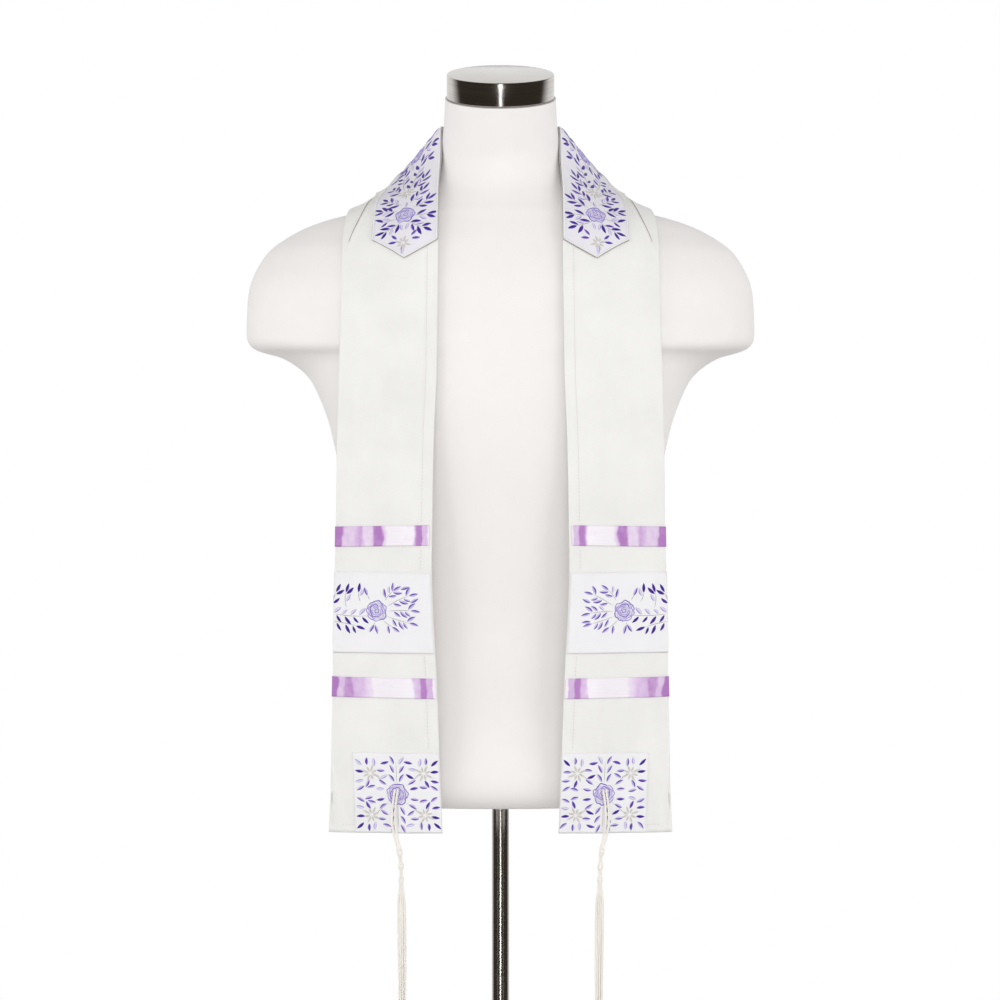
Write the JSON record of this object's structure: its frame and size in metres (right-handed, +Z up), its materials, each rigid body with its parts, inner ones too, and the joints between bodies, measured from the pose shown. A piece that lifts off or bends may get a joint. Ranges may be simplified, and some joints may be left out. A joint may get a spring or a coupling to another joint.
{
  "type": "tallit prayer shawl on a limbless dress form",
  "caption": "Long folded prayer shawl laid round the neck of a limbless torso form on a pole stand, with embroidered bands, satin ribbons and corner tassels.",
  "frame": {"origin": "centre of the stand base's underside", "axes": "+Z up, the front of the form faces -Y, +X is to the right of a viewer who looks at the front"},
  "size_m": [0.5058, 0.332, 1.5982],
  "materials": {
    "form_shell": "smooth painted white, low sheen",
    "brushed_steel": "brushed",
    "shawl_cloth": "fine woven, matt with a soft sheen",
    "panel_cloth": "plain woven cotton with satin-stitch embroidery",
    "satin_ribbon": "satin",
    "neckband_cloth": "plain woven cotton with satin-stitch embroidery and a corded rim",
    "fringe_wool": "twisted wool"
  },
  "bodies": {
    "root": {"form_torso": "form_shell", "neck_cap": "brushed_steel", "stand_pole": "brushed_steel", "stand_base": "brushed_steel", "shawl_cloth": "shawl_cloth", "neckband": "neckband_cloth", "ribbon_upper_left": "satin_ribbon", "ribbon_upper_right": "satin_ribbon", "ribbon_lower_left": "satin_ribbon", "ribbon_lower_right": "satin_ribbon", "panel_left": "panel_cloth", "panel_right": "panel_cloth", "corner_left": "panel_cloth", "corner_right": "panel_cloth", "fringe_left": "fringe_wool", "fringe_right": "fringe_wool"}
  },
  "joints": []
}
